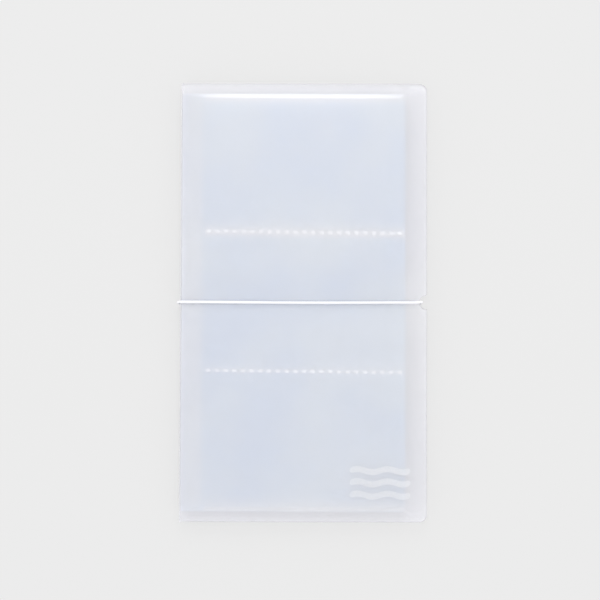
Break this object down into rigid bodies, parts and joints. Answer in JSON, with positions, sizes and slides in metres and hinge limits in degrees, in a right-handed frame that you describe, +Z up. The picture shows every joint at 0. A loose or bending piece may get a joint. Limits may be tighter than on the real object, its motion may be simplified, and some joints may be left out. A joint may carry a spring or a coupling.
{
  "type": "trading card album",
  "caption": "Slim pocket album for trading cards: a frosted soft-plastic cover folded round clear pocket leaves and held shut by a loop of elastic cord.",
  "frame": {"origin": "middle of the closed album's footprint, on the table under the back cover", "axes": "+X from the spine to the fore-edge, +Y from the tail to the head, +Z up from the back cover to the front cover"},
  "size_m": [0.12, 0.2098, 0.0135],
  "materials": {
    "frosted_cover": "frosted, milky and softly glossy",
    "clear_film": "clear with a faint blue cast",
    "welded_strip": "milky where the films are fused",
    "white_elastic": "braided over a rubber core"
  },
  "bodies": {
    "back": {"back_cover": "frosted_cover"},
    "spine": {"spine": "frosted_cover", "binding_strip": "welded_strip"},
    "front": {"front_cover": "frosted_cover"},
    "leaf_01": {"leaf_01_base_film": "clear_film", "leaf_01_pocket_film": "clear_film"},
    "leaf_02": {"leaf_02_base_film": "clear_film", "leaf_02_pocket_film": "clear_film"},
    "leaf_03": {"leaf_03_base_film": "clear_film", "leaf_03_pocket_film": "clear_film"},
    "leaf_04": {"leaf_04_base_film": "clear_film", "leaf_04_pocket_film": "clear_film"},
    "leaf_05": {"leaf_05_base_film": "clear_film", "leaf_05_pocket_film": "clear_film"},
    "leaf_06": {"leaf_06_base_film": "clear_film", "leaf_06_pocket_film": "clear_film"},
    "leaf_07": {"leaf_07_base_film": "clear_film", "leaf_07_pocket_film": "clear_film"},
    "leaf_08": {"leaf_08_base_film": "clear_film", "leaf_08_pocket_film": "clear_film"},
    "leaf_09": {"leaf_09_base_film": "clear_film", "leaf_09_pocket_film": "clear_film"},
    "leaf_10": {"leaf_10_base_film": "clear_film", "leaf_10_pocket_film": "clear_film"},
    "band": {"elastic_band": "white_elastic"}
  },
  "joints": [
    {"name": "spine_hinge", "type": "hinge", "parent": "back", "child": "spine", "pos_m": [-0.0576, 0, 0.0025], "axis": [0, -1, 0], "range_deg": [0, 90]},
    {"name": "front_cover_hinge", "type": "hinge", "parent": "spine", "child": "front", "pos_m": [-0.0576, 0, 0.0107], "axis": [0, -1, 0], "range_deg": [0, 91]},
    {"name": "leaf_01_turn", "type": "hinge", "parent": "spine", "child": "leaf_01", "pos_m": [-0.05545, 0, 0.00997], "axis": [0, -1, 0], "range_deg": [0, 80]},
    {"name": "leaf_02_turn", "type": "hinge", "parent": "spine", "child": "leaf_02", "pos_m": [-0.05545, 0, 0.00923], "axis": [0, -1, 0], "range_deg": [0, 68]},
    {"name": "leaf_03_turn", "type": "hinge", "parent": "spine", "child": "leaf_03", "pos_m": [-0.05545, 0, 0.00847], "axis": [0, -1, 0], "range_deg": [0, 51]},
    {"name": "leaf_04_turn", "type": "hinge", "parent": "spine", "child": "leaf_04", "pos_m": [-0.05545, 0, 0.00773], "axis": [0, -1, 0], "range_deg": [0, 31]},
    {"name": "leaf_05_turn", "type": "hinge", "parent": "spine", "child": "leaf_05", "pos_m": [-0.05545, 0, 0.00698], "axis": [0, -1, 0], "range_deg": [0, 11]},
    {"name": "leaf_06_turn", "type": "hinge", "parent": "spine", "child": "leaf_06", "pos_m": [-0.05545, 0, 0.00622], "axis": [0, -1, 0], "range_deg": [-11, 0]},
    {"name": "leaf_07_turn", "type": "hinge", "parent": "spine", "child": "leaf_07", "pos_m": [-0.05545, 0, 0.00547], "axis": [0, -1, 0], "range_deg": [-31, 0]},
    {"name": "leaf_08_turn", "type": "hinge", "parent": "spine", "child": "leaf_08", "pos_m": [-0.05545, 0, 0.00473], "axis": [0, -1, 0], "range_deg": [-51, 0]},
    {"name": "leaf_09_turn", "type": "hinge", "parent": "spine", "child": "leaf_09", "pos_m": [-0.05545, 0, 0.00398], "axis": [0, -1, 0], "range_deg": [-68, 0]},
    {"name": "leaf_10_turn", "type": "hinge", "parent": "spine", "child": "leaf_10", "pos_m": [-0.05545, 0, 0.00323], "axis": [0, -1, 0], "range_deg": [-80, 0]},
    {"name": "band_slip", "type": "slide", "parent": "back", "child": "band", "axis": [0, -1, 0], "range_m": [0, 0.126], "deforming": ["elastic_band"]}
  ],
  "couplings": [
    {"joint": "front_cover_hinge", "follows": "spine_hinge", "ratio": 1},
    {"joint": "leaf_01_turn", "follows": "spine_hinge", "ratio": 0.87},
    {"joint": "leaf_02_turn", "follows": "spine_hinge", "ratio": 0.74},
    {"joint": "leaf_03_turn", "follows": "spine_hinge", "ratio": 0.55},
    {"joint": "leaf_04_turn", "follows": "spine_hinge", "ratio": 0.33},
    {"joint": "leaf_05_turn", "follows": "spine_hinge", "ratio": 0.11},
    {"joint": "leaf_06_turn", "follows": "spine_hinge", "ratio": -0.11},
    {"joint": "leaf_07_turn", "follows": "spine_hinge", "ratio": -0.33},
    {"joint": "leaf_08_turn", "follows": "spine_hinge", "ratio": -0.55},
    {"joint": "leaf_09_turn", "follows": "spine_hinge", "ratio": -0.74},
    {"joint": "leaf_10_turn", "follows": "spine_hinge", "ratio": -0.87},
    {"joint": "band_slip", "follows": "spine_hinge", "m_per_rad": 0.0795}
  ]
}
